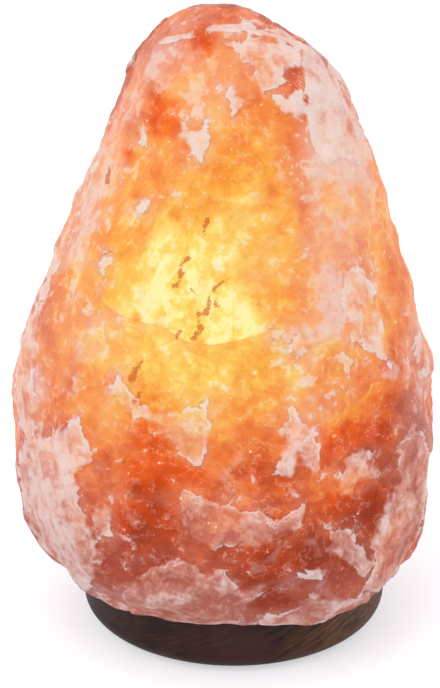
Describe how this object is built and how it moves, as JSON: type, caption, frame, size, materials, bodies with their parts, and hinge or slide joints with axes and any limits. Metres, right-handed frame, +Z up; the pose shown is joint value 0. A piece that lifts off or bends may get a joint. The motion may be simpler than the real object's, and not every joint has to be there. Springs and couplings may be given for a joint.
{
  "type": "salt crystal lamp",
  "caption": "Table lamp: a hewn salt rock, hollowed from below, on a round wooden base, lit by a small screw bulb in a holder that spring clips keep in the base's bore.",
  "frame": {"origin": "on the surface that the lamp stands on, below the middle of the rock's width and depth; the base's upright axis stands at x 3.8 mm, y 1.25 mm", "axes": "+Z up; -Y is the side that faces the camera in the picture; +X is to its right"},
  "size_m": [0.152, 0.1357, 0.227],
  "materials": {
    "salt": "satin",
    "dark_stained_wood": "satin",
    "black_rubber": "matte",
    "zinc_plated_steel": "satin",
    "grey_nylon": "matte",
    "black_phenolic": "satin",
    "brass": "satin",
    "spring_steel": "satin",
    "bulb_glass": "gloss",
    "nickel_plated_brass": "satin",
    "black_vitrite": "gloss",
    "solder": "satin",
    "tungsten_wire": "satin"
  },
  "bodies": {
    "lamp": {"salt_crystal": "salt", "wood_base": "dark_stained_wood", "base_screws": "zinc_plated_steel", "wall_plugs": "grey_nylon", "rubber_feet": "black_rubber"},
    "holder": {"holder_body": "black_phenolic", "holder_cap": "black_phenolic", "cap_screws": "zinc_plated_steel", "screw_shell": "brass", "centre_contact": "brass", "side_contact_strip": "brass", "terminal_screws": "brass", "clip_band": "spring_steel", "clip_rivets": "zinc_plated_steel"},
    "wing_left": {"clip_wing_left": "spring_steel"},
    "wing_right": {"clip_wing_right": "spring_steel"},
    "bulb_button": {"bulb_contact_button": "solder"},
    "bulb": {"bulb_envelope": "bulb_glass", "bulb_cap": "nickel_plated_brass", "bulb_cap_insulator": "black_vitrite", "bulb_stem": "bulb_glass", "bulb_lead_wires": "tungsten_wire", "bulb_filament": "tungsten_wire"}
  },
  "joints": [
    {"name": "holder_pull", "type": "slide", "parent": "lamp", "child": "holder", "axis": [0, 0, -1], "range_m": [0, 0.13]},
    {"name": "clip_left_squeeze", "type": "hinge", "parent": "holder", "child": "wing_left", "pos_m": [-0.0111, 0.00125, 0.054], "axis": [0, -1, 0], "range_deg": [0, 4], "stiffness_Nm_per_rad": 0.3},
    {"name": "clip_right_squeeze", "type": "hinge", "parent": "holder", "child": "wing_right", "pos_m": [0.0187, 0.00125, 0.054], "axis": [0, 1, 0], "range_deg": [0, 4], "stiffness_Nm_per_rad": 0.3},
    {"name": "bulb_rise", "type": "slide", "parent": "holder", "child": "bulb_button", "axis": [0, 0, 1], "range_m": [0, 0.01017]},
    {"name": "bulb_turn", "type": "hinge", "parent": "bulb_button", "child": "bulb", "pos_m": [0.0038, 0.00125, 0.044], "axis": [0, 0, 1], "range_deg": [0, 1440]}
  ],
  "couplings": [
    {"joint": "bulb_rise", "follows": "bulb_turn", "m_per_rad": 0.00040425}
  ]
}
